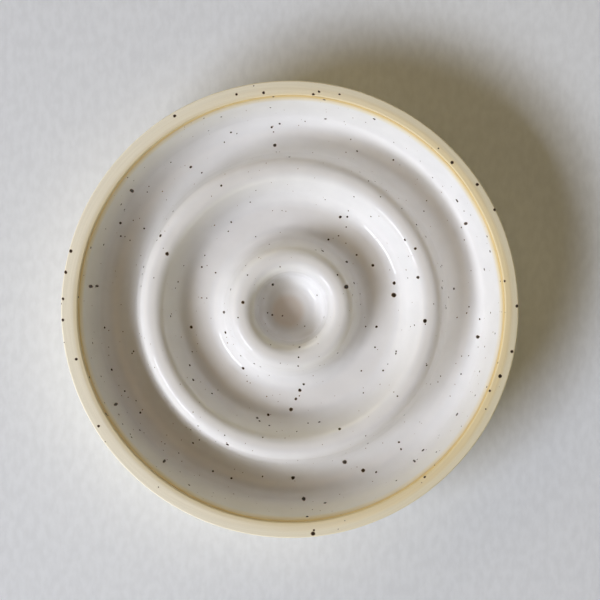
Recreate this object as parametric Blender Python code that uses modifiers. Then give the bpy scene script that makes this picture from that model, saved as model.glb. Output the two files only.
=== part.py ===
"""Thrown stoneware soap dish: one clay body, and the white glaze that lines its inside.

The floor rises in two rings that hold the soap clear of the water. Everything is turned
about the Z axis. Units are metres, +Z is up, and the origin is on the table, under the
middle of the dish. Heights inside the dish are those of the glazed surface, as it is seen.
"""

import math

import bpy
from mathutils import Vector

# Outside of the dish
RIM_RADIUS = 0.0575  # middle to the outside of the rim
HEIGHT = 0.0205  # table to the top of the rim
WALL_TAPER = 0.0020  # how much narrower the outer wall is at its heel than at its rim
HEEL_BEVEL = 0.0016  # slanted cut between the outer wall and the foot
FOOT_WIDTH = 0.0060  # flat ring that the dish stands on
FOOT_HOLLOW = 0.0006  # how far the middle of the underside is trimmed back
HOLLOW_SLOPE = 0.0020  # run of the slope from the foot ring up into the hollow

# Rim and inner wall
RIM_WIDTH = 0.0036  # across the top of the rim, between its two edges
RIM_INNER_ROUND = 0.0006  # radius of the rim's inner edge
RIM_OUTER_ROUND = 0.0006  # radius of the rim's outer edge
WALL_LEAN = math.radians(18)  # how far the inner wall leans out from upright
WALL_FILLET = 0.0045  # radius where the inner wall meets the gutter

# Levels of the glazed floor above the table
DIP_LEVEL = 0.0046  # the dip in the middle
GROOVE_LEVEL = 0.0060  # the groove between the two rings
GUTTER_LEVEL = 0.0051  # the gutter along the wall
INNER_RING_RISE = 0.0086  # top of the inner ring above the groove
OUTER_RING_RISE = 0.0080  # top of the outer ring above the groove

# Where the two rings lie, and how wide their tops and slopes are
INNER_RING_RADIUS = 0.0128
INNER_RING_TOP = 0.0005
INNER_RING_DIP_SLOPE = 0.00825
INNER_RING_GROOVE_SLOPE = 0.00895
OUTER_RING_RADIUS = 0.0355
OUTER_RING_TOP = 0.0005
OUTER_RING_GROOVE_SLOPE = 0.00945
OUTER_RING_GUTTER_SLOPE = 0.00945

# Rounds at the ends of those slopes
CREST_ROUND = 0.0032  # the shoulders of both rings
DIP_ROUND = 0.0044
GROOVE_ROUND = 0.0050
GUTTER_ROUND = 0.0055
LARGEST_ROUND_SHARE = 0.98  # of the room that a slope leaves for its two rounds

# Glaze
GLAZE_THICKNESS = 0.0006
GLAZE_EDGE_THICKNESS = 0.00025  # where the coat ends, under the bare rim
GLAZE_LINE_DROP = 0.0008  # top of the rim to the edge of the glaze
GLAZE_THINNING = 0.0030  # height over which the coat thins towards its edge
SEAM = 0.0003  # clearance between the glaze and the clay

# Fineness of the turned meshes
TURN_STEPS = 60
SLOPE_ROUND_PARTS = 3
FILLET_PARTS = 4
ROUND_PARTS = 3
CLOSEST_POINTS = 0.0002

# Finishes: base colour, roughness and metallic value
STONEWARE_FINISH = ((0.74, 0.64, 0.45, 1.0), 0.85, 0.0)
GLAZE_FINISH = ((0.84, 0.83, 0.81, 1.0), 0.12, 0.0)

COLLECTION_NAME = "soap_dish"


def floor_slopes():
    """The floor's four slopes outwards, as (start radius, run, rise, first round, last round)."""
    inner_top = GROOVE_LEVEL + INNER_RING_RISE
    outer_top = GROOVE_LEVEL + OUTER_RING_RISE
    dip_edge = INNER_RING_RADIUS - INNER_RING_TOP / 2 - INNER_RING_DIP_SLOPE
    inner_high = INNER_RING_RADIUS + INNER_RING_TOP / 2
    groove_edge = OUTER_RING_RADIUS - OUTER_RING_TOP / 2 - OUTER_RING_GROOVE_SLOPE
    outer_high = OUTER_RING_RADIUS + OUTER_RING_TOP / 2
    return (
        (dip_edge, INNER_RING_DIP_SLOPE, inner_top - DIP_LEVEL, DIP_ROUND, CREST_ROUND),
        (inner_high, INNER_RING_GROOVE_SLOPE, -INNER_RING_RISE, CREST_ROUND, GROOVE_ROUND),
        (groove_edge, OUTER_RING_GROOVE_SLOPE, OUTER_RING_RISE, GROOVE_ROUND, CREST_ROUND),
        (outer_high, OUTER_RING_GUTTER_SLOPE, GUTTER_LEVEL - outer_top, CREST_ROUND, GUTTER_ROUND),
    )


def slope_section(run, rise, first_round, last_round):
    """Points of a slope from its start, as (way, climb, angle): a round, a flank and a round."""
    height = abs(rise)
    room = LARGEST_ROUND_SHARE * (run**2 + height**2) / (2 * height)
    share = min(1.0, room / (first_round + last_round))
    first = first_round * share
    last = last_round * share
    over = first + last - height
    flank = math.asin((first + last) / math.hypot(run, over)) - math.atan2(over, run)
    angles = [flank * part / SLOPE_ROUND_PARTS for part in range(SLOPE_ROUND_PARTS + 1)]
    section = []
    for angle in angles:
        section.append((first * math.sin(angle), first * (1 - math.cos(angle)), angle))
    for angle in reversed(angles):
        climb = height - last * (1 - math.cos(angle))
        section.append((run - last * math.sin(angle), climb, angle))
    return [(way, math.copysign(climb, rise), angle) for way, climb, angle in section]


def slope_at(radius, slope):
    """Climb and angle of one slope at a radius, level before it and after it."""
    start, run, rise, first_round, last_round = slope
    section = slope_section(run, rise, first_round, last_round)
    way = min(max(radius - start, 0.0), run)
    low, high = next(pair for pair in zip(section, section[1:]) if way <= pair[1][0])
    share = (way - low[0]) / (high[0] - low[0])
    return [low[item] + share * (high[item] - low[item]) for item in (1, 2)]


def floor_surface(radius):
    """Height of the glazed floor at a radius, and the way down into the clay there."""
    height = DIP_LEVEL
    tilt = 0.0
    for slope in floor_slopes():
        climb, angle = slope_at(radius, slope)
        height += climb
        tilt += math.copysign(angle, slope[2])
    return height, Vector((math.sin(tilt), -math.cos(tilt)))


def wall_point(height):
    """Point of the inner wall at a height."""
    edge = RIM_RADIUS - RIM_WIDTH
    return Vector((edge - (HEIGHT - height) * math.tan(WALL_LEAN), height))


def beside_wall(height, distance):
    """Centre of an arc that touches the wall, at a distance towards the middle of the dish."""
    return wall_point(height) - Vector((distance / math.cos(WALL_LEAN), 0.0))


def arc(centre, radius, start, end, parts):
    """Points along an arc from one angle to the other, with both ends."""
    angles = [start + (end - start) * part / parts for part in range(parts + 1)]
    return [centre + radius * Vector((math.cos(angle), math.sin(angle))) for angle in angles]


def floor_stations(edge):
    """Points of the floor out to a radius, each with its way down into the clay."""
    radii = [0.0]
    for start, run, rise, first_round, last_round in floor_slopes():
        section = slope_section(run, rise, first_round, last_round)
        radii += [start + way for way, _climb, _angle in section]
    stations = []
    last = -CLOSEST_POINTS
    for radius in sorted(radii):
        if last + CLOSEST_POINTS <= radius <= edge - CLOSEST_POINTS:
            height, down = floor_surface(radius)
            stations.append((Vector((radius, height)), down))
            last = radius
    return stations


def lined_stations():
    """The glazed surface from the middle to the glaze line, as (point, way down, coat)."""
    centre = beside_wall(GUTTER_LEVEL + WALL_FILLET, WALL_FILLET)
    fillet = arc(centre, WALL_FILLET, -math.pi / 2, -WALL_LEAN, FILLET_PARTS)
    stations = floor_stations(centre.x)
    stations += [(point, (point - centre).normalized()) for point in fillet]
    into_wall = stations[-1][1]
    glaze_line = HEIGHT - GLAZE_LINE_DROP
    stations.append((wall_point(glaze_line - GLAZE_THINNING), into_wall))
    lined = [(point, down, GLAZE_THICKNESS) for point, down in stations]
    lined.append((wall_point(glaze_line), into_wall, GLAZE_EDGE_THICKNESS))
    return lined


def lining_profile():
    """Half section of the glaze: over its top, round its edge and back underneath."""
    stations = lined_stations()
    top = [point for point, _down, _coat in stations]
    underneath = [point + down * coat for point, down, coat in stations]
    return top + underneath[::-1]


def rim_profile():
    """The bare lip above the glaze, and over the rim to its outside."""
    _point, into_wall, coat = lined_stations()[-1]
    lip = wall_point(HEIGHT - GLAZE_LINE_DROP + SEAM)
    inner = beside_wall(HEIGHT - RIM_INNER_ROUND, -RIM_INNER_ROUND)
    outer = Vector((RIM_RADIUS - RIM_OUTER_ROUND, HEIGHT - RIM_OUTER_ROUND))
    profile = [lip + into_wall * (coat + SEAM), lip]
    profile += arc(inner, RIM_INNER_ROUND, math.pi - WALL_LEAN, math.pi / 2, ROUND_PARTS)
    profile += arc(outer, RIM_OUTER_ROUND, math.pi / 2, 0.0, ROUND_PARTS)
    return profile


def underside_profile():
    """Down the outer wall, round the foot ring and in to the middle of the hollow."""
    heel = RIM_RADIUS - WALL_TAPER
    foot = heel - HEEL_BEVEL
    hollow = foot - FOOT_WIDTH
    return [
        Vector((heel, HEEL_BEVEL)),
        Vector((foot, 0.0)),
        Vector((hollow, 0.0)),
        Vector((hollow - HOLLOW_SLOPE, FOOT_HOLLOW)),
        Vector((0.0, FOOT_HOLLOW)),
    ]


def body_profile():
    """Half section of the clay: under the glaze, over the rim and round the foot."""
    lined = [point + down * (coat + SEAM) for point, down, coat in lined_stations()]
    return lined + rim_profile() + underside_profile()


def finish(name, colour, roughness, metallic):
    """A plain Principled material."""
    material = bpy.data.materials.new(name)
    material.use_nodes = True
    shader = material.node_tree.nodes["Principled BSDF"]
    shader.inputs["Base Color"].default_value = colour
    shader.inputs["Roughness"].default_value = roughness
    shader.inputs["Metallic"].default_value = metallic
    return material


def turned(name, profile, material, collection):
    """A solid of revolution about the Z axis."""
    mesh = bpy.data.meshes.new(name)
    points = [(point.x, 0.0, point.y) for point in profile]
    mesh.from_pydata(points, [(index, index + 1) for index in range(len(points) - 1)], [])
    mesh.materials.append(material)
    solid = bpy.data.objects.new(name, mesh)
    collection.objects.link(solid)
    screw = solid.modifiers.new("Turn", "SCREW")
    screw.axis = "Z"
    screw.steps = TURN_STEPS
    screw.render_steps = TURN_STEPS
    screw.use_merge_vertices = True
    screw.merge_threshold = 0.00001
    screw.use_smooth_shade = True
    return solid


def stoneware_body(collection):
    """The thrown clay, with its rim, its two rings and its foot."""
    material = finish("stoneware", *STONEWARE_FINISH)
    return turned("stoneware_body", body_profile(), material, collection)


def glaze_lining(collection):
    """The coat of glaze on the floor and the inner wall."""
    material = finish("glaze", *GLAZE_FINISH)
    return turned("glaze_lining", lining_profile(), material, collection)


def main():
    for item in list(bpy.data.objects):
        bpy.data.objects.remove(item)
    collection = bpy.data.collections.new(COLLECTION_NAME)
    bpy.context.scene.collection.children.link(collection)
    stoneware_body(collection)
    glaze_lining(collection)


main()
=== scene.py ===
"""Looks of a thrown stoneware soap dish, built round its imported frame.

Lengths are in metres, +Z is up, +X is to the right in the picture, and the origin is on the
table, under the middle of the dish. The half section is laid out as (radius, height).
"""

import math

import bpy
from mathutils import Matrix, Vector


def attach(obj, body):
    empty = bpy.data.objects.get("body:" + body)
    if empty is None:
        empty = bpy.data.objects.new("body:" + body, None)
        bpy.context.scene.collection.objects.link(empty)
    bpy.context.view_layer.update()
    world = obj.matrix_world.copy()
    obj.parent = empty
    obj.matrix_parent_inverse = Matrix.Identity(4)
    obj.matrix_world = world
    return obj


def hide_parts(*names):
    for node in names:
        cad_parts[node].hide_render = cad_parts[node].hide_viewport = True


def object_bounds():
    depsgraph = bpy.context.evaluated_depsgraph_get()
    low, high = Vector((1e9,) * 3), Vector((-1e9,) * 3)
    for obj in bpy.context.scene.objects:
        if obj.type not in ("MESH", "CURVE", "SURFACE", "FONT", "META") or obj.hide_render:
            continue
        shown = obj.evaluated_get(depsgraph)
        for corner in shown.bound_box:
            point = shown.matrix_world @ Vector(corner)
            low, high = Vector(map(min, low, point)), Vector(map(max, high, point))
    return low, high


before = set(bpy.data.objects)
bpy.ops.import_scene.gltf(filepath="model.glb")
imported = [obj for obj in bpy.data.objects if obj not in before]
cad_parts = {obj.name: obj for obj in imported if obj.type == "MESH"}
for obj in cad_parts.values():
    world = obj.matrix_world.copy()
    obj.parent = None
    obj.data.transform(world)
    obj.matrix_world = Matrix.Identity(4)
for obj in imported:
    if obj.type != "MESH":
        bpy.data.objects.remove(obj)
CAD_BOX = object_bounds()

bl_info = {
    "name": "Soap Dish",
    "version": (1, 0, 0),
    "blender": (4, 5, 0),
    "location": "3D View > Sidebar > Soap Dish",
    "description": "Makes a thrown stoneware soap dish with a glazed inside, and its stage",
    "category": "Add Mesh",
}

BODY_NODE = "stoneware_body"
GLAZE_NODE = "glaze_lining"

# Fineness of the turned meshes, in metres along the half section unless it says parts
TURN_STEPS = 300
MERGE_DISTANCE = 0.000001
SEED_SIZE = 0.001  # plane that is merged into the first point of a half section
TRACE_SPACING = 0.00005  # first tracing of the glazed line
LINING_SPACING = 0.00036
UNDER_GLAZE_SPACING = 0.0003
RIM_SPACING = 0.0001
OUTER_WALL_SPACING = 0.00025
FOOT_SPACING = 0.0003
HOLLOW_SPACING = 0.0009
HIDDEN_STRIDE = 4  # one in so many points is kept where a skin is out of sight
FILLET_PARTS = 60
INNER_ROUND_PARTS = 8
OUTER_ROUND_PARTS = 14

# Edge of the glaze
BEAD_REACH = 0.0006  # edge to the top of the bead, and how wide the bead is
EDGE_LIFT = 0.00005  # how far the edge is rounded past its end
SEAM_REACH = 0.001  # way from the glaze line over which the seam opens
FINE_REACH = 0.004  # way from the glaze line that keeps all points of the clay
WAVER_CELL = 0.011
WAVER_REACH = 0.0025  # how far down the wall the waver is felt

# Rim
RIDGE_HALF = 0.0002  # half the width of the ridge's rounded top
RIDGE_FALL = 0.000004  # how far that top falls to its sides
OUTER_ROUND_TILT = 0.05  # radians off upright where the outer round begins
LEVEL_SLACK = 0.00001
LIP_MARGIN = 0.0001
SHIFT_MARGIN = 0.0002  # strip at both edges of the rim without a change of shift
OUTSIDE_MARGIN = 0.0003
UNDERSIDE_HEELS = 1.5  # heels above the table up to which nothing is shifted

# Turning marks outside
MARK_EASE = 0.002  # way over which the marks fade at both ends of the wall
MARK_PITCH = 0.0031
MARK_STRAY = 1.4  # radians that the marks stray from an even pitch
MARK_STRAY_RATE = 900

# Foot
TURNED_EDGE = 0.00025  # size of the softened edges of the foot ring
OUTER_EDGE_RISE = 0.6  # share of that size by which each edge rises
INNER_EDGE_RISE = 0.4

# Unevenness of hand throwing: cell, strength and the heights where it sets in
CLAY_CELL = 0.022
CLAY_STRENGTH = 0.00012
CLAY_FROM = 0.003
CLAY_EASE = 0.01
POOL_CELL = 0.017
POOL_BELOW_RIM = 0.004
POOL_EASE = 0.003

LIGHT_DISTANCE = 2.0  # from the middle of the foot to each light

# Soft lights of the room: name, azimuth and elevation in degrees, size, watts and colour
ROOM_LIGHTS = (
    ("wall_left", 172, 32, (1.0, 0.6), 2.5, (1.0, 0.80, 0.46)),
    ("wall_far", 105, 30, (1.6, 0.6), 3.3, (1.0, 0.89, 0.76)),
    ("wall_near", 275, 38, (1.6, 0.6), 1.9, (1.0, 0.88, 0.62)),
    ("floor_far", 120, 10, (1.0, 0.6), 3.4, (1.0, 0.84, 0.28)),
    ("floor_near", 305, 10, (1.8, 0.6), 5.0, (1.0, 0.92, 0.50)),
    ("floor_right", 55, 10, (1.0, 0.6), 2.9, (1.0, 0.96, 0.60)),
    ("lamp_overhead", 0, 89.9, (1.2, 1.2), 2.4, (1.0, 0.66, 0.28)),
)

# Middle of the round patch of darker, browner glaze on the floor of the dip
DIP_TINT_CENTRE = (-0.00065, -0.0006, 0.0)

# Iron blots that stand out inside the dish, as x, y and radius in millimetres
GLAZE_BLOTS = (
    (26.8, 3.6, 0.62),
    (26.9, 6.7, 0.42),
    (14.3, 5.7, 0.60),
    (14.1, -39.6, 0.62),
    (18.9, -41.9, 0.50),
    (-31.3, 14.1, 0.50),
    (2.5, -21.0, 0.42),
    (0.2, -26.0, 0.48),
    (1.4, -23.3, 0.36),
    (-5.7, -27.3, 0.36),
    (-12.0, 1.7, 0.44),
    (-25.6, -4.7, 0.42),
    (-4.0, 42.4, 0.46),
    (-40.5, 30.3, 0.44),
    (-43.8, 22.2, 0.34),
    (-25.8, 36.8, 0.34),
    (-44.5, -24.3, 0.40),
    (-32.2, -38.9, 0.36),
    (3.5, -49.0, 0.50),
    (48.5, -7.2, 0.44),
    (32.6, 8.1, 0.40),
    (31.9, 15.4, 0.36),
    (-4.5, 6.3, 0.34),
    (14.6, 12.2, 0.32),
    (-17.0, -0.8, 0.36),
    (-50.8, 5.8, 0.44),
    (-49.6, 5.9, 0.32),
    (45.2, 22.0, 0.40),
    (31.9, -39.0, 0.30),
    (28.2, -34.5, 0.28),
)

# Iron blots on the clay of the rim, in the same way
CLAY_BLOTS = (
    (55.7, -10.6, 0.44),
    (57.0, 0.8, 0.40),
    (53.9, 7.1, 0.36),
    (50.1, -20.4, 0.40),
    (47.0, 31.3, 0.40),
    (51.4, 25.0, 0.42),
    (40.7, 36.8, 0.44),
    (-28.9, 48.5, 0.40),
    (5.8, -56.3, 0.56),
    (6.0, -55.4, 0.30),
    (-55.0, 14.6, 0.46),
    (-56.3, 9.3, 0.48),
    (-56.9, 2.6, 0.36),
    (-57.0, -2.7, 0.42),
    (-53.6, -12.5, 0.36),
    (-48.0, -29.3, 0.36),
    (33.8, -42.0, 0.40),
    (5.9, 53.9, 0.42),
    (-6.6, 54.3, 0.40),
    (-13.4, 53.9, 0.36),
)

# Ways from a blot's middle where it begins and is full, in metres for a millimetre of radius
BLOT_FADE = (0.00125, 0.00050)

# Smaller random specks: cell, smallest and largest radius, share of the cells, and a shift
GLAZE_SPECKS = ((0.0042, 0.00027, 0.00050, 0.60, 0.31), (0.0025, 0.00018, 0.00031, 0.62, 0.77))
FAINT_SPECKS = (0.0017, 0.00011, 0.00020, 0.50, 0.13)
PINHOLES = (0.0030, 0.00006, 0.00016, 0.35, 0.53)
CLAY_SPECKS = ((0.0044, 0.00024, 0.00046, 0.55, 0.11), (0.0028, 0.00016, 0.00028, 0.60, 0.67))
SPECK_SWELL = 1.15
SPECK_SOFTNESS = 0.36
SPECK_RARITY = 3  # power that makes large specks rarer than small ones
SPECK_STRAY = 0.0003  # how far the outline of a speck strays
SPECK_STRAY_SCALE = 1400
FAINT_SHARE = 0.5

# Strength of a mark where its rust or iron begins and is full
GLAZE_RUST = (0.0, 0.55)
CLAY_RUST = (0.0, 0.5)
IRON_HEART = (0.3, 0.9)

# Noises, as cells in a metre and detail
GLAZE_CLOUD = (160, 3.0)
GLAZE_DRIFT = (70, 2.0)
GLAZE_RIPPLE = (260, 2.0)
CLAY_STREAK = (2600, 3.0)
CLAY_BAND = (700, 2.0)
CLAY_GRAIN = (2600, 4.0)
CLAY_PATCH = (150, 2.0)
TABLE_FLECK = (620, 4.0)
NOISE_RANGE = (0.3, 0.7)  # noise at which a finish is at either end of its spread

# Glaze: ways in metres from the middle of the dip's darker patch and below the glaze line, as
# start and end
DIP_TINT_FADE = (0.0052, 0.0030)
THIN_FADE = (0.0036, 0.0010)
LINE_FADE = (0.0012, 0.0004)
MILKY_SHARE = 0.965  # of the glaze's colour, in the darker parts of its cloud
CLOUD_RANGE = (0.35, 0.7)
THIN_DRIFT = (0.2, 0.75, 0.55, 1.0)  # noise, and strength of the amber band at either end of it
RIPPLE_SHARE = 0.35
GLAZE_IOR = 1.5
GLAZE_BUMP = {"Strength": 0.35, "Distance": 0.00006}

# Clay: ways in metres on the rim, shares of its darker streaks, and its bump
TURN_DRIFT = 0.035  # how fast the streaks change round the dish, for 1 across them
RIM_FADE = (0.004, 0.0015)  # below the top of the rim
RIM_BLEND = 0.0008  # strip at both edges of the rim in one colour
# Painted sheen: the rim's clay is painted paler on its left, the side that faces the window,
# fading along X
SHEEN_FADE = (0.055, -0.040)  # along X
SHEEN_SHARE = 0.90
SHEEN_AT_LIP = 0.4
LIP_BLEND = 0.0010
PATCH_SHIFT = 0.5  # how far patches move the border of the rim's two colours
PATCH_RANGE = (0.1, 0.9)
STREAK_SHARES = (0.55, 0.25, 0.20)  # fine streaks, broad ones and grain
DARK_RANGE = (0.62, 0.36)
DARK_SHARE = 0.24  # most that a streak darkens the clay
DARK_CLAY = 0.62  # share of the clay's colour that it darkens towards
DARK_ON_RIM = 0.5  # how much of the streaks is left on the rim
ROUGHNESS_SPREAD = 0.07
RELIEF_SHARES = (0.6, 0.8)  # grain and fine streaks
CLAY_SPECULAR = 0.25
CLAY_BUMP = {"Strength": 0.6, "Distance": 0.00008}

# Table and camera
TABLE_RADIUS = 1.5
TABLE_SIDES = 96
TABLE_DRAWN = (1.0, 0.45, 1.0)  # draws the flecks out along Y
TABLE_SPREAD = (0.965, 1.03)  # darkest and palest share of the table's colour
TABLE_ROUGHNESS = 0.8
TABLE_SPECULAR = 0.2
TABLE_BUMP = {"Strength": 0.25, "Distance": 0.0001}
BACKDROP_RANGE = (0.25, 0.50)  # rise of the view from the pale backdrop to the dark ceiling
PICTURE_PIXELS = 600
SENSOR_WIDTH = 36.0


def length(name, description, default):
    """A property in metres."""
    return bpy.props.FloatProperty(
        name=name, description=description, default=default, unit="LENGTH", precision=5
    )


def colour(name, description, default):
    """A property that holds a linear colour."""
    return bpy.props.FloatVectorProperty(
        name=name,
        description=description,
        default=default,
        subtype="COLOR",
        size=3,
        min=0,
        max=1,
    )


def number(name, description, default):
    """A property without a unit."""
    return bpy.props.FloatProperty(name=name, description=description, default=default)


def turn(name, description, degrees):
    """A property that holds an angle."""
    return bpy.props.FloatProperty(
        name=name, description=description, default=math.radians(degrees), subtype="ANGLE"
    )


class ClaySizes(bpy.types.PropertyGroup):
    """Rim, wall and foot of the thrown clay."""

    radius: length("Radius", "Middle to the outside of the rim", CAD_BOX[1].x)
    height: length("Height", "Table to the top of the rim", CAD_BOX[1].z)
    rim_width: length("Rim width", "Across the top of the rim", 0.00372)
    ridge: length("Ridge", "Inner edge of the rim to the ridge that crowns it", 0.0013)
    crown: length("Crown", "How far the rim falls from its ridge to its edges", 0.00011)
    inner_round: length("Inner round", "Radius of the rim's inner edge", 0.00048)
    outer_round: length("Outer round", "Radius of the rim's outer edge", 0.00045)
    lean: turn("Lean", "How far the inner wall leans out from upright", 18)
    fillet: length("Fillet", "Radius where the inner wall meets the gutter", 0.0045)
    taper: length("Taper", "How much narrower the outer wall is at its heel", 0.0020)
    heel: length("Heel", "Slanted cut between the outer wall and the foot", 0.0016)
    foot_width: length("Foot width", "Flat ring that the dish stands on", 0.0060)
    hollow: length("Hollow", "How far the middle of the underside is trimmed back", 0.0006)
    hollow_slope: length("Hollow slope", "Run of the slope from the foot ring inwards", 0.0020)
    finger_marks: length("Finger marks", "Depth of the turning marks outside", 0.00010)
    offset_x: length("Offset X", "How far the inside is thrown off centre along X", 0.00033)
    offset_y: length("Offset Y", "How far the inside is thrown off centre along Y", 0.00020)


class FloorSizes(bpy.types.PropertyGroup):
    """The dip, the two rings and the gutter, as the glaze shows them."""

    dip_level: length("Dip level", "Height of the dip above the table", 0.0046)
    groove_level: length("Groove level", "Height of the groove between the rings", 0.0060)
    gutter_level: length("Gutter level", "Height of the gutter along the wall", 0.0051)
    inner_rise: length("Inner ring rise", "Top of the inner ring above the groove", 0.0086)
    outer_rise: length("Outer ring rise", "Top of the outer ring above the groove", 0.0080)
    inner_radius: length("Inner ring radius", "Radius of the inner ring's top", 0.0128)
    inner_top: length("Inner ring top", "Width of the inner ring's level top", 0.0005)
    dip_slope: length("Dip slope", "Run from the inner ring's top into the dip", 0.00825)
    groove_slope: length("Groove slope", "Run from the inner ring's top to the groove", 0.00895)
    outer_radius: length("Outer ring radius", "Radius of the outer ring's top", 0.0355)
    outer_top: length("Outer ring top", "Width of the outer ring's level top", 0.0005)
    outer_groove_slope: length("Outer groove slope", "Run from the groove to that top", 0.00945)
    gutter_slope: length("Gutter slope", "Run from the outer ring's top to the gutter", 0.00945)
    crest_round: length("Crest round", "Radius of the shoulders of both rings", 0.0032)
    dip_round: length("Dip round", "Radius at the foot of the dip's slope", 0.0044)
    groove_round: length("Groove round", "Radius at both feet of the groove", 0.0050)
    gutter_round: length("Gutter round", "Radius at the foot of the gutter's slope", 0.0055)


class GlazeSizes(bpy.types.PropertyGroup):
    """The coat of glaze inside the dish."""

    coat: length("Coat", "Thickness of the glaze", 0.0006)
    edge_coat: length("Edge coat", "Thickness of the glaze where it ends", 0.00020)
    line_drop: length("Line drop", "Top of the rim to the edge of the glaze", 0.0007)
    thinning: length("Thinning", "Height over which the coat thins", 0.0030)
    bead: length("Bead", "How far the edge of the coat stands proud", 0.00010)
    seam: length("Seam", "Clearance between the glaze and the clay", 0.0003)
    waver: length("Waver", "How far the glaze line strays up and down", 0.00045)
    pooling: length("Pooling", "Unevenness of the glazed surface", 0.00016)


class Finishes(bpy.types.PropertyGroup):
    """Colours of the glaze, the clay and the iron in both."""

    glaze: colour("Glaze", "White glaze", (0.92, 0.918, 0.91))
    glaze_roughness: number("Glaze roughness", "Roughness of the fired glaze", 0.05)
    # Darker, browner glaze colour on the floor of the dip
    dip_floor_glaze: colour("Pooled glaze", "Glaze that pooled in the dip", (0.83, 0.77, 0.71))
    thin_glaze: colour("Thin glaze", "Glaze that thins towards its edge", (0.88, 0.74, 0.44))
    glaze_edge: colour("Glaze edge", "Line where the glaze ends", (0.80, 0.61, 0.29))
    iron: colour("Iron", "Heart of an iron speck", (0.030, 0.021, 0.014))
    rust: colour("Rust", "Rim of an iron speck", (0.34, 0.22, 0.13))
    clay: colour("Clay", "Bare fired clay", (0.80, 0.71, 0.51))
    rim_inside: colour("Rim inside", "Clay flashed by the glaze beside it", (0.87, 0.735, 0.45))
    rim_outside: colour("Rim outside", "Clay at the outer edge of the rim", (0.90, 0.825, 0.61))
    # Painted sheen: paler clay colour for the left of the rim, the side that faces the window
    rim_painted_sheen: colour("Rim pale", "Paler clay on the left of the rim", (0.99, 0.935, 0.775))
    clay_roughness: number("Clay roughness", "Roughness of the bare clay", 0.82)


class StageLook(bpy.types.PropertyGroup):
    """Table, daylight and camera."""

    table: colour("Table", "Painted table top", (0.84, 0.874, 0.92))
    ambient: colour("Ambient", "Light of the room", (0.020, 0.014, 0.008))
    backdrop: colour("Backdrop", "Pale wall behind the table", (0.70, 0.71, 0.71))
    ceiling: colour("Ceiling", "Dark ceiling over the table", (0.060, 0.050, 0.040))
    window_power: number("Window power", "Watts of the window", 30.2)
    pane_power: number("Pane power", "Watts of the pane that the glaze mirrors", 9.0)
    window_colour: colour("Window colour", "Colour of the daylight", (0.850, 0.888, 0.990))
    window_azimuth: turn("Window azimuth", "Direction of the window from +X", 214)
    window_elevation: turn("Window elevation", "Height of the window's middle", 36)
    window_width: length("Window width", "Width of the window", 1.25)
    window_height: length("Window height", "Height of the window", 0.66)
    pane_elevation: turn("Pane elevation", "Height of the bright pane in it", 33)
    pane_width: length("Pane width", "Width of the bright pane", 0.86)
    pane_height: length("Pane height", "Height of the bright pane", 0.24)
    camera_height: length("Camera height", "Top of the rim to the camera", 0.45)
    pixel: length("Pixel", "What one pixel of 600 covers at the rim", 0.0002508)
    aim_x: number("Aim X", "Pixels from the dish's middle to the picture's", 10.1)
    aim_y: number("Aim Y", "Pixels from the dish's middle up to the picture's", 9.3)


def flank_angle(run, rise, first_round, last_round):
    """Angle of the straight flank that joins two rounds over a run and a rise."""
    both = first_round + last_round
    reach = math.hypot(run, both - rise)
    return math.asin(min(both / reach, 1.0)) - math.atan2(both - rise, run)


def climb(way, run, rise, first_round, last_round):
    """Height gained part way along a slope: a round, a straight flank and a round."""
    flank = flank_angle(run, rise, first_round, last_round)
    way = min(max(way, 0.0), run)
    first_end = first_round * math.sin(flank)
    last_start = run - last_round * math.sin(flank)
    if way < first_end:
        return first_round - math.sqrt(first_round**2 - way**2)
    if way > last_start:
        return rise - last_round + math.sqrt(last_round**2 - (run - way) ** 2)
    return first_round * (1 - math.cos(flank)) + (way - first_end) * math.tan(flank)


def floor_height(radius, floor):
    """Height of the glazed floor at a radius: the dip's level and the four slopes."""
    inner_top = floor.groove_level + floor.inner_rise
    outer_top = floor.groove_level + floor.outer_rise
    inner_low = floor.inner_radius - floor.inner_top / 2
    inner_high = floor.inner_radius + floor.inner_top / 2
    outer_low = floor.outer_radius - floor.outer_top / 2
    outer_high = floor.outer_radius + floor.outer_top / 2
    crest = floor.crest_round
    height = floor.dip_level
    height += climb(
        radius - inner_low + floor.dip_slope,
        floor.dip_slope,
        inner_top - floor.dip_level,
        floor.dip_round,
        crest,
    )
    height -= climb(
        radius - inner_high, floor.groove_slope, floor.inner_rise, crest, floor.groove_round
    )
    height += climb(
        radius - outer_low + floor.outer_groove_slope,
        floor.outer_groove_slope,
        floor.outer_rise,
        floor.groove_round,
        crest,
    )
    height -= climb(
        radius - outer_high,
        floor.gutter_slope,
        outer_top - floor.gutter_level,
        crest,
        floor.gutter_round,
    )
    return height


def wall_point(height, clay):
    """Point of the inner wall at a height."""
    edge = clay.radius - clay.rim_width
    return Vector((edge - (clay.height - height) * math.tan(clay.lean), height))


def beside_wall(height, distance, clay):
    """Centre of an arc that touches the wall, at a distance towards the middle."""
    return wall_point(height, clay) - Vector((distance / math.cos(clay.lean), 0.0))


def arc(centre, radius, start, end, parts):
    """Points along an arc from one angle to the other, with both ends."""
    angles = [start + (end - start) * part / parts for part in range(parts + 1)]
    return [centre + radius * Vector((math.cos(angle), math.sin(angle))) for angle in angles]


def spaced(points, spacing):
    """The same line with points at an even spacing along it."""
    whole = sum((end - start).length for start, end in zip(points, points[1:]))
    parts = max(1, round(whole / spacing))
    line = [points[0].copy()]
    covered = 0.0
    for start, end in zip(points, points[1:]):
        span = (end - start).length
        while len(line) < parts and covered + span >= whole / parts * len(line):
            line.append(start.lerp(end, (whole / parts * len(line) - covered) / span))
        covered += span
    return line + [points[-1].copy()]


def square_to(points):
    """Directions square to a line at each of its points, to the right of its course."""
    ways = []
    for index in range(len(points)):
        along = points[min(index + 1, len(points) - 1)] - points[max(index - 1, 0)]
        ways.append(Vector((along.y, -along.x)).normalized())
    ways[0] = Vector((0.0, -1.0))
    return ways


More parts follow.
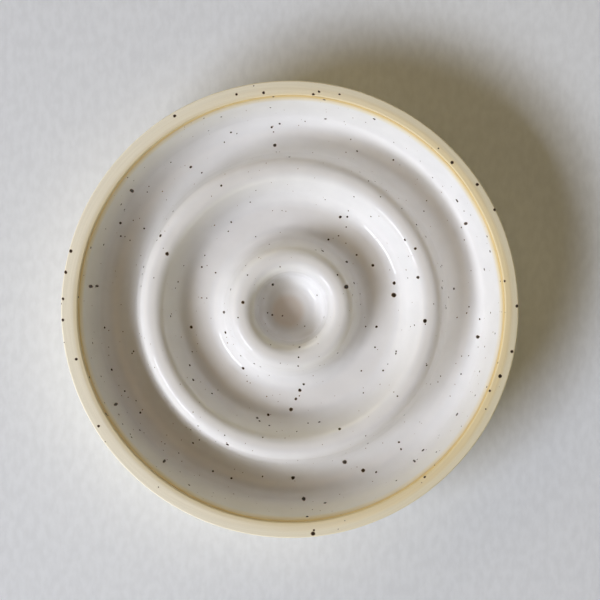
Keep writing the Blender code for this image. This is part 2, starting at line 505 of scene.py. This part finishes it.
def smooth_share(value, whole):
    """0 at nothing and 1 at the whole, easing in and out."""
    share = min(max(value / whole, 0.0), 1.0)
    return share * share * (3 - 2 * share)


def glazed_line(clay, floor, glaze):
    """The glazed surface from the middle up to the glaze line, closely spaced."""
    centre = beside_wall(floor.gutter_level + clay.fillet, clay.fillet, clay)
    radii = [TRACE_SPACING * index for index in range(int(centre.x / TRACE_SPACING))]
    line = [Vector((radius, floor_height(radius, floor))) for radius in radii]
    line += arc(centre, clay.fillet, -math.pi / 2, -clay.lean, FILLET_PARTS)
    line.append(wall_point(clay.height - glaze.line_drop, clay))
    return spaced(line, TRACE_SPACING)


def coat_at(to_edge, glaze):
    """Thickness of the glaze at a distance from its edge."""
    share = smooth_share(to_edge, glaze.thinning)
    return glaze.edge_coat + (glaze.coat - glaze.edge_coat) * share


def lining_profile(clay, floor, glaze):
    """Half section of the glaze: over its top, round its edge and back underneath."""
    line = spaced(glazed_line(clay, floor, glaze), LINING_SPACING)
    inwards = square_to(line)
    top = []
    underneath = []
    for index, point in enumerate(line):
        to_edge = (line[-1] - point).length
        proud = glaze.bead * math.exp(-(((to_edge - BEAD_REACH) / BEAD_REACH) ** 2))
        top.append(point - inwards[index] * proud)
        if index % HIDDEN_STRIDE == 0:
            underneath.append(point + inwards[index] * coat_at(to_edge, glaze))
    tip = line[-1] + inwards[-1] * glaze.edge_coat / 2
    upwards = (line[-1] - line[-2]).normalized()
    round_edge = top[-1].lerp(tip, 0.5) + upwards * EDGE_LIFT
    underneath[0].x = 0.0
    return top + [round_edge, tip] + underneath[::-1]


def rim_profile(clay, glaze):
    """The lip above the glaze, and over the crowned rim to its outside."""
    lip = wall_point(clay.height - glaze.line_drop, clay)
    edge_height = clay.height - clay.crown
    inner = beside_wall(edge_height - clay.inner_round, -clay.inner_round, clay)
    ridge = Vector((clay.radius - clay.rim_width + clay.ridge, clay.height))
    outer = Vector((clay.radius - clay.outer_round, edge_height - clay.outer_round))
    tilted = math.pi / 2 - OUTER_ROUND_TILT
    profile = [lip]
    profile += arc(inner, clay.inner_round, math.pi - clay.lean, math.pi / 2, INNER_ROUND_PARTS)
    profile += [ridge - Vector((RIDGE_HALF, RIDGE_FALL)), ridge]
    profile.append(ridge + Vector((RIDGE_HALF, -RIDGE_FALL)))
    profile += arc(outer, clay.outer_round, tilted, 0.0, OUTER_ROUND_PARTS)
    return spaced(profile, RIM_SPACING)


def outside_profile(clay):
    """Down the outer wall with its turning marks, round the foot and in to the middle."""
    start = Vector((clay.radius, clay.height - clay.crown - clay.outer_round))
    heel = Vector((clay.radius - clay.taper, clay.heel))
    wall = spaced([start, heel], OUTER_WALL_SPACING)
    for point in wall:
        way = start.y - point.y
        ease = smooth_share(way, MARK_EASE) * smooth_share(point.y - heel.y, MARK_EASE)
        stray = MARK_STRAY * math.sin(way * MARK_STRAY_RATE)
        mark = 0.5 + 0.5 * math.sin(way * 2 * math.pi / MARK_PITCH + stray)
        point.x -= clay.finger_marks * ease * mark
    foot = heel.x - clay.heel
    inner_foot = foot - clay.foot_width
    hollow_edge = Vector((inner_foot - clay.hollow_slope, clay.hollow))
    ring = [
        heel,
        Vector((foot + TURNED_EDGE, TURNED_EDGE * OUTER_EDGE_RISE)),
        Vector((foot - TURNED_EDGE, 0.0)),
        Vector((inner_foot + TURNED_EDGE, 0.0)),
        Vector((inner_foot - TURNED_EDGE, TURNED_EDGE * INNER_EDGE_RISE)),
        hollow_edge,
    ]
    hollow = spaced([hollow_edge, Vector((0.0, clay.hollow))], HOLLOW_SPACING)
    return wall + spaced(ring, FOOT_SPACING)[1:] + hollow[1:]


def body_profile(clay, floor, glaze):
    """Half section of the clay: under the glaze, over the rim and round the foot."""
    line = spaced(glazed_line(clay, floor, glaze), UNDER_GLAZE_SPACING)
    inwards = square_to(line)
    under = []
    for index, point in enumerate(line):
        to_edge = (line[-1] - point).length
        if to_edge > FINE_REACH and index % HIDDEN_STRIDE:
            continue
        depth = (coat_at(to_edge, glaze) + glaze.seam) * smooth_share(to_edge, SEAM_REACH)
        under.append(point + inwards[index] * depth)
    under[0].x = 0.0
    return under[:-1] + rim_profile(clay, glaze) + outside_profile(clay)[1:]


def deselect_all():
    """Leaves nothing selected."""
    for item in bpy.context.selected_objects:
        item.select_set(False)


def turned(name, profile):
    """Draws a half section point by point from one vertex and spins it about Z."""
    deselect_all()
    bpy.ops.mesh.primitive_plane_add(size=SEED_SIZE, location=(0, 0, 0))
    piece = bpy.context.active_object
    piece.name = name
    piece.data.name = name
    bpy.ops.object.mode_set(mode="EDIT")
    bpy.ops.mesh.select_all(action="SELECT")
    bpy.ops.mesh.merge(type="CENTER")
    bpy.ops.transform.translate(value=(profile[0].x, 0, profile[0].y))
    for start, end in zip(profile, profile[1:]):
        step = (end.x - start.x, 0, end.y - start.y)
        bpy.ops.mesh.extrude_region_move(TRANSFORM_OT_translate={"value": step})
    bpy.ops.mesh.select_all(action="SELECT")
    bpy.ops.mesh.spin(steps=TURN_STEPS, angle=2 * math.pi, center=(0, 0, 0), axis=(0, 0, 1))
    bpy.ops.mesh.select_all(action="SELECT")
    bpy.ops.mesh.remove_doubles(threshold=MERGE_DISTANCE)
    bpy.ops.mesh.normals_make_consistent(inside=False)
    bpy.ops.mesh.select_all(action="DESELECT")
    bpy.ops.mesh.select_non_manifold()
    bpy.ops.object.mode_set(mode="OBJECT")
    if any(vertex.select for vertex in piece.data.vertices):
        raise RuntimeError(f"{name} isn't closed all over")
    bpy.ops.object.shade_smooth()
    return piece


def weigh(piece, name, weight):
    """A vertex group whose weight is worked out from each point's place."""
    group = piece.vertex_groups.new(name=name)
    for vertex in piece.data.vertices:
        share = weight(math.hypot(vertex.co.x, vertex.co.y), vertex.co.z)
        if share > 0:
            group.add([vertex.index], share, "REPLACE")
    return name


def clouds(name, scale):
    """A soft random texture for a Displace modifier."""
    texture = bpy.data.textures.new(name, "CLOUDS")
    texture.noise_scale = scale
    texture.noise_depth = 1
    return texture


def displace(piece, direction, strength, group, texture=None, rest=0.0):
    """Adds a Displace modifier to the selected piece and applies it."""
    modifier = piece.modifiers.new("Displace", "DISPLACE")
    modifier.direction = direction
    modifier.strength = strength
    modifier.mid_level = rest
    modifier.vertex_group = group
    if texture:
        modifier.texture = texture
        modifier.texture_coords = "LOCAL"
    bpy.ops.object.modifier_apply(modifier=modifier.name)


def throw_off_centre(piece, clay):
    """Shifts the inside of the dish sideways, and less and less across the rim."""
    edge = clay.radius - clay.rim_width
    outer_top = clay.height - clay.crown - clay.outer_round - LEVEL_SLACK
    across = clay.rim_width - 2 * SHIFT_MARGIN

    def weight(radius, height):
        underneath = height < UNDERSIDE_HEELS * clay.heel
        outside = height < outer_top and radius > edge + OUTSIDE_MARGIN
        if underneath or outside:
            return 0.0
        return 1 - smooth_share(radius - edge - SHIFT_MARGIN, across)

    group = weigh(piece, "inside", weight)
    displace(piece, "X", clay.offset_x, group)
    displace(piece, "Y", clay.offset_y, group)


def mark_glaze_line(piece, clay, glaze):
    """Stores how far each point lies below the glaze line."""
    line = clay.height - glaze.line_drop
    below = piece.data.attributes.new("below_line", "FLOAT", "POINT")
    below.data.foreach_set("value", [line - vertex.co.z for vertex in piece.data.vertices])


def waver_line(piece, clay, glaze):
    """Lets the glaze line stray up and down the wall."""
    line = clay.height - glaze.line_drop
    lip = clay.radius - clay.rim_width + LIP_MARGIN

    def weight(radius, height):
        if radius > lip or height < clay.height / 2:
            return 0.0
        reach = WAVER_REACH if height < line else glaze.line_drop
        return 1 - smooth_share(abs(height - line), reach)

    group = weigh(piece, "line", weight)
    displace(piece, "Z", glaze.waver, group, clouds("glaze_line", WAVER_CELL), 0.5)


class Signal:
    """An output socket of a shader tree. Arithmetic on it adds Math nodes."""

    def __init__(self, tree, socket=None):
        self.tree = tree
        self.socket = socket

    def node(self, kind, settings, inputs, output=0):
        """Adds a node, sets it, feeds its sockets and gives one of its outputs."""
        node = self.tree.nodes.new(kind)
        for name, value in settings.items():
            setattr(node, name, value)
        for name, value in inputs.items():
            self.feed(node.inputs[name], value)
        return Signal(self.tree, node.outputs[output])

    def feed(self, socket, value):
        """Links a signal to a socket, or sets the socket to a constant."""
        if isinstance(value, Signal):
            self.tree.links.new(value.socket, socket)
        else:
            socket.default_value = value

    def maths(self, operation, *values):
        """A Math node on values or signals."""
        return self.node("ShaderNodeMath", {"operation": operation}, dict(enumerate(values)))

    def vector(self, operation, *values, output=0):
        """A Vector Math node on vectors or signals."""
        settings = {"operation": operation}
        return self.node("ShaderNodeVectorMath", settings, dict(enumerate(values)), output)

    def ease(self, start, end, low=0.0, high=1.0):
        """Eases from low to high while this signal goes from start to end."""
        settings = {"interpolation_type": "SMOOTHSTEP"}
        inputs = {0: self, 1: start, 2: end, 3: low, 4: high}
        return self.node("ShaderNodeMapRange", settings, inputs)

    def mix(self, low, high):
        """A colour between two, with this signal as the share of the second."""
        inputs = {0: self}
        inputs[6] = low if isinstance(low, Signal) else (*low, 1.0)
        inputs[7] = high if isinstance(high, Signal) else (*high, 1.0)
        return self.node("ShaderNodeMix", {"data_type": "RGBA"}, inputs, 2)

    def noise(self, scale, detail=2.0, output=0):
        """Soft noise at this place, with cells of 1 / scale metres."""
        inputs = {"Vector": self, "Scale": scale, "Detail": detail}
        return self.node("ShaderNodeTexNoise", {}, inputs, output)

    def __add__(self, other):
        return self.maths("ADD", self, other)

    def __sub__(self, other):
        return self.maths("SUBTRACT", self, other)

    def __mul__(self, other):
        return self.maths("MULTIPLY", self, other)

    def __pow__(self, other):
        return self.maths("POWER", self, other)

    def __rsub__(self, other):
        return self.maths("SUBTRACT", other, self)

    def __rpow__(self, other):
        return self.maths("POWER", other, self)

    __radd__ = __add__
    __rmul__ = __mul__


def new_material(name):
    """A node material, a signal to start from and its Principled shader."""
    material = bpy.data.materials.new(name)
    material.use_nodes = True
    tree = material.node_tree
    return material, Signal(tree), tree.nodes["Principled BSDF"]


def strayed(place, distance, scale):
    """A place moved about by noise, which makes round spots uneven."""
    shift = place.vector("SUBTRACT", place.noise(scale, 1.0, 1), (0.5, 0.5, 0.5))
    shift = place.vector("MULTIPLY", shift, (distance, distance, distance))
    return place.vector("ADD", place, shift)


def darkest(first, second):
    """The stronger of two sets of marks."""
    return first.maths("MAXIMUM", first, second)


def specks(place, kind):
    """Random round specks: one in some of the cells, each with its own size."""
    cell, smallest, largest, share, shift = kind
    moved = place.vector("ADD", place, (shift, shift, shift))
    inputs = {"Vector": moved, "Scale": 1 / cell}
    distance = place.node("ShaderNodeTexVoronoi", {}, inputs)
    chance = place.node("ShaderNodeTexVoronoi", {}, inputs, 1)
    red = place.node("ShaderNodeSeparateColor", {}, {0: chance})
    green = place.node("ShaderNodeSeparateColor", {}, {0: chance}, 1)
    radius = (smallest + (largest - smallest) * red**SPECK_RARITY) * (1 / cell)
    spot = (radius * SPECK_SWELL - distance) * (1 / largest * cell)
    return spot.ease(0.0, SPECK_SOFTNESS) * place.maths("LESS_THAN", green, share)


def blots(place, spots, height=0.0):
    """Iron blots at chosen places of one height, in the space that the place is given in."""
    found = None
    for x, y, radius in spots:
        away = place.vector("DISTANCE", place, (x / 1000, y / 1000, height), output=1)
        spot = away.ease(*(radius * way for way in BLOT_FADE))
        found = spot if found is None else darkest(found, spot)
    return found


def stained(base, marks, rust_range, look):
    """A colour with rust round its marks and iron at their heart."""
    base = marks.ease(*rust_range).mix(base, look.rust)
    return marks.ease(*IRON_HEART).mix(base, look.iron)


def glaze_material(look):
    """Glossy white glaze with iron specks in it, amber where it thins at its edge."""
    material, start, shader = new_material("white_glaze")
    place = start.node("ShaderNodeTexCoord", {}, {}, 3)
    below = start.node("ShaderNodeAttribute", {"attribute_name": "below_line"}, {}, 2)
    uneven = strayed(place, SPECK_STRAY, SPECK_STRAY_SCALE)
    cloud = place.noise(*GLAZE_CLOUD)
    drift = place.noise(*GLAZE_DRIFT)
    milky = [MILKY_SHARE * part for part in look.glaze]
    milk = cloud.ease(*CLOUD_RANGE).mix(milky, look.glaze)
    level = place.vector("MULTIPLY", uneven, (1, 1, 0))
    # The floor of the dip is coloured darker and browner than the rest of the glaze
    from_dip_middle = place.vector("DISTANCE", level, DIP_TINT_CENTRE, output=1)
    base = from_dip_middle.ease(*DIP_TINT_FADE).mix(milk, look.dip_floor_glaze)
    thin = below.ease(*THIN_FADE) * drift.ease(*THIN_DRIFT)
    base = thin.mix(base, look.thin_glaze)
    line = below.ease(*LINE_FADE)
    base = line.mix(base, look.glaze_edge)
    marks = blots(level, GLAZE_BLOTS)
    for kind in GLAZE_SPECKS:
        marks = darkest(marks, specks(uneven, kind))
    marks = darkest(marks, specks(uneven, FAINT_SPECKS) * FAINT_SHARE)
    start.feed(shader.inputs["Base Color"], stained(base, marks, GLAZE_RUST, look))
    shader.inputs["Roughness"].default_value = look.glaze_roughness
    shader.inputs["IOR"].default_value = GLAZE_IOR
    relief = place.noise(*GLAZE_RIPPLE) * RIPPLE_SHARE - specks(place, PINHOLES)
    bump = start.node("ShaderNodeBump", {}, {**GLAZE_BUMP, "Height": relief})
    start.feed(shader.inputs["Normal"], bump)
    return material


def clay_material(look, clay):
    """Bare fired clay: turning streaks, grain, pits, iron specks that bled, and a painted sheen
    on the left of the rim.
    """
    material, start, shader = new_material("stoneware")
    place = start.node("ShaderNodeTexCoord", {}, {}, 3)
    to_right = start.node("ShaderNodeSeparateXYZ", {}, {0: place}, 0)
    height = start.node("ShaderNodeSeparateXYZ", {}, {0: place}, 2)
    flat = place.vector("MULTIPLY", place, (1, 1, 0))
    radius = place.vector("LENGTH", flat, output=1)
    section = start.node("ShaderNodeCombineXYZ", {}, {0: radius, 1: height})
    around = place.vector("MULTIPLY", place, (TURN_DRIFT, TURN_DRIFT, 0.0))
    thrown = place.vector("ADD", section, around)
    streak = thrown.noise(*CLAY_STREAK)
    broad = thrown.noise(*CLAY_BAND)
    grain = place.noise(*CLAY_GRAIN)
    patch = place.noise(*CLAY_PATCH)
    uneven = strayed(place, SPECK_STRAY, SPECK_STRAY_SCALE)
    edge = clay.radius - clay.rim_width
    across = radius.ease(edge + RIM_BLEND, clay.radius - RIM_BLEND)
    on_rim = height.ease(*(clay.height - drop for drop in RIM_FADE))
    border = across + (patch - 0.5) * PATCH_SHIFT
    rim = border.ease(*PATCH_RANGE).mix(look.rim_inside, look.rim_outside)
    # Painted sheen: the rim is painted paler towards the left, where it faces the window
    painted_sheen = to_right.ease(*SHEEN_FADE, 0.0, SHEEN_SHARE)
    painted_sheen = painted_sheen * radius.ease(edge, edge + LIP_BLEND, SHEEN_AT_LIP, 1.0)
    rim = painted_sheen.mix(rim, look.rim_painted_sheen)
    base = on_rim.mix(look.clay, rim)
    fine_share, broad_share, grain_share = STREAK_SHARES
    streaks = streak * fine_share + broad * broad_share + grain * grain_share
    darker = streaks.ease(*DARK_RANGE, 0.0, DARK_SHARE)
    darker = darker * on_rim.ease(0.0, 1.0, 1.0, DARK_ON_RIM)
    base = darker.mix(base, [part * DARK_CLAY for part in look.clay])
    marks = blots(uneven, CLAY_BLOTS, clay.height - clay.crown / 2)
    for kind in CLAY_SPECKS:
        marks = darkest(marks, specks(uneven, kind))
    start.feed(shader.inputs["Base Color"], stained(base, marks, CLAY_RUST, look))
    spread = grain.ease(*NOISE_RANGE, -ROUGHNESS_SPREAD, ROUGHNESS_SPREAD)
    roughness = spread + look.clay_roughness
    start.feed(shader.inputs["Roughness"], roughness)
    shader.inputs["Specular IOR Level"].default_value = CLAY_SPECULAR
    grain_relief, streak_relief = RELIEF_SHARES
    relief = grain * grain_relief + streak * streak_relief
    bump = start.node("ShaderNodeBump", {}, {**CLAY_BUMP, "Height": relief})
    start.feed(shader.inputs["Normal"], bump)
    return material


def table_material(look):
    """Pale painted table with a faint woven roughness."""
    material, start, shader = new_material("table")
    place = start.node("ShaderNodeTexCoord", {}, {}, 3)
    drawn = place.vector("MULTIPLY", place, TABLE_DRAWN)
    fleck = drawn.noise(*TABLE_FLECK)
    dark, pale = ([part * share for part in look.table] for share in TABLE_SPREAD)
    tone = fleck.ease(*NOISE_RANGE).mix(dark, pale)
    start.feed(shader.inputs["Base Color"], tone)
    shader.inputs["Roughness"].default_value = TABLE_ROUGHNESS
    shader.inputs["Specular IOR Level"].default_value = TABLE_SPECULAR
    bump = start.node("ShaderNodeBump", {}, {**TABLE_BUMP, "Height": fleck})
    start.feed(shader.inputs["Normal"], bump)
    return material


def finish_piece(piece, material, node):
    """Gives a piece its material and its place in the frame."""
    piece.data.materials.clear()
    piece.data.materials.append(material)
    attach(piece, "root")
    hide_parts(node)


class SOAPDISH_OT_clay(bpy.types.Operator):
    """Throws the clay, with its rim, its two rings and its foot"""

    bl_idname = "soap_dish.make_clay"
    bl_label = "Make the clay"

    def execute(self, context):
        scene = context.scene
        clay = scene.soap_dish_clay
        glaze = scene.soap_dish_glaze
        piece = turned("thrown_clay", body_profile(clay, scene.soap_dish_floor, glaze))
        waver_line(piece, clay, glaze)
        throw_off_centre(piece, clay)
        rim = weigh(
            piece, "rim", lambda radius, height: smooth_share(height - CLAY_FROM, CLAY_EASE)
        )
        uneven = clouds("clay_unevenness", CLAY_CELL)
        displace(piece, "NORMAL", CLAY_STRENGTH, rim, uneven, 1.0)
        piece.vertex_groups.clear()
        material = clay_material(scene.soap_dish_finish, clay)
        finish_piece(piece, material, BODY_NODE)
        return {"FINISHED"}


class SOAPDISH_OT_glaze(bpy.types.Operator):
    """Coats the inside with glaze up to the glaze line"""

    bl_idname = "soap_dish.make_glaze"
    bl_label = "Make the glaze"

    def execute(self, context):
        scene = context.scene
        clay = scene.soap_dish_clay
        glaze = scene.soap_dish_glaze
        piece = turned("glazed_inside", lining_profile(clay, scene.soap_dish_floor, glaze))
        mark_glaze_line(piece, clay, glaze)
        waver_line(piece, clay, glaze)
        throw_off_centre(piece, clay)
        level = clay.height - POOL_BELOW_RIM
        floor = weigh(
            piece, "floor", lambda radius, height: 1 - smooth_share(height - level, POOL_EASE)
        )
        displace(piece, "Z", glaze.pooling, floor, clouds("glaze_pooling", POOL_CELL), 0.5)
        piece.vertex_groups.clear()
        material = glaze_material(scene.soap_dish_finish)
        finish_piece(piece, material, GLAZE_NODE)
        return {"FINISHED"}


def softbox(name, direction, size, power, light_colour):
    """An area light that faces the dish from an azimuth and an elevation."""
    azimuth, elevation = direction
    level = LIGHT_DISTANCE * math.cos(elevation)
    height = LIGHT_DISTANCE * math.sin(elevation)
    place = Vector((level * math.cos(azimuth), level * math.sin(azimuth), height))
    turned_to = (-place).to_track_quat("-Z", "Y").to_euler()
    deselect_all()
    bpy.ops.object.light_add(type="AREA", location=place, rotation=turned_to)
    light = bpy.context.active_object
    light.name = name
    light.data.shape = "RECTANGLE"
    light.data.size, light.data.size_y = size
    light.data.energy = power
    light.data.color = light_colour
    light.visible_camera = False
    return light


class SOAPDISH_OT_stage(bpy.types.Operator):
    """Sets up the table, the daylight, the lights of the room and the camera"""

    bl_idname = "soap_dish.make_stage"
    bl_label = "Make the stage"

    def execute(self, context):
        scene = context.scene
        look = scene.soap_dish_stage
        clay = scene.soap_dish_clay
        deselect_all()
        bpy.ops.mesh.primitive_circle_add(
            vertices=TABLE_SIDES, radius=TABLE_RADIUS, fill_type="NGON"
        )
        table = context.active_object
        table.name = "table"
        table.data.materials.append(table_material(look))
        self.open_window(look)
        for name, azimuth, elevation, size, power, tint in ROOM_LIGHTS:
            direction = (math.radians(azimuth), math.radians(elevation))
            softbox(name, direction, size, power, tint)
        self.light_room(scene, look)
        self.place_camera(scene, look, clay)
        if scene.camera is None or scene.world is None:
            raise RuntimeError("The stage has no camera or no room light")
        return {"FINISHED"}

    def open_window(self, look):
        """Daylight, and the bright pane in it that the glaze mirrors."""
        direction = (look.window_azimuth, look.window_elevation)
        size = (look.window_width, look.window_height)
        daylight = softbox("window", direction, size, look.window_power, look.window_colour)
        daylight.visible_glossy = False
        direction = (look.window_azimuth, look.pane_elevation)
        size = (look.pane_width, look.pane_height)
        softbox("window_pane", direction, size, look.pane_power, look.window_colour)

    def light_room(self, scene, look):
        """Dim light of the room, which shows as a pale backdrop under a dark ceiling."""
        world = bpy.data.worlds.new("room")
        world.use_nodes = True
        scene.world = world
        tree = world.node_tree
        start = Signal(tree)
        seen = 0.0
        for ray in ("Is Camera Ray", "Is Glossy Ray", "Is Transmission Ray"):
            seen = start.node("ShaderNodeLightPath", {}, {}, ray) + seen
        way = start.node("ShaderNodeTexCoord", {}, {})
        up = start.node("ShaderNodeSeparateXYZ", {}, {0: way}, 2)
        shown = up.ease(*BACKDROP_RANGE).mix(look.backdrop, look.ceiling)
        shade = seen.mix(look.ambient, shown)
        background = tree.nodes["Background"]
        start.feed(background.inputs["Color"], shade)
        background.inputs["Strength"].default_value = 1.0

    def place_camera(self, scene, look, clay):
        """A camera straight over the dish."""
        deselect_all()
        height = clay.height + look.camera_height
        location = (look.aim_x * look.pixel, look.aim_y * look.pixel, height)
        bpy.ops.object.camera_add(location=location, rotation=(0, 0, 0))
        camera = bpy.context.active_object
        camera.name = "camera"
        camera.data.sensor_fit = "HORIZONTAL"
        camera.data.sensor_width = SENSOR_WIDTH
        seen = PICTURE_PIXELS * look.pixel
        camera.data.lens = SENSOR_WIDTH * look.camera_height / seen
        scene.camera = camera


class SOAPDISH_PT_panel(bpy.types.Panel):
    """Lists what the add-on makes"""

    bl_idname = "SOAPDISH_PT_panel"
    bl_label = "Soap Dish"
    bl_space_type = "VIEW_3D"
    bl_region_type = "UI"
    bl_category = "Soap Dish"

    def draw(self, context):
        column = self.layout.column()
        for operator in OPERATORS:
            column.operator(operator.bl_idname)
        for group in GROUPS:
            settings = getattr(context.scene, group)
            for name in GROUPS[group].__annotations__:
                column.prop(settings, name)


GROUPS = {
    "soap_dish_clay": ClaySizes,
    "soap_dish_floor": FloorSizes,
    "soap_dish_glaze": GlazeSizes,
    "soap_dish_finish": Finishes,
    "soap_dish_stage": StageLook,
}
OPERATORS = (SOAPDISH_OT_clay, SOAPDISH_OT_glaze, SOAPDISH_OT_stage)


def register():
    for kind in (*GROUPS.values(), *OPERATORS, SOAPDISH_PT_panel):
        bpy.utils.register_class(kind)
    for name, kind in GROUPS.items():
        setattr(bpy.types.Scene, name, bpy.props.PointerProperty(type=kind))


def unregister():
    for name in GROUPS:
        delattr(bpy.types.Scene, name)
    for kind in (SOAPDISH_PT_panel, *OPERATORS, *GROUPS.values()):
        bpy.utils.unregister_class(kind)


def main():
    register()
    bpy.ops.soap_dish.make_clay()
    bpy.ops.soap_dish.make_glaze()
    bpy.ops.soap_dish.make_stage()
    bpy.context.scene.view_settings.view_transform = "Standard"


if __name__ == "__main__":
    main()
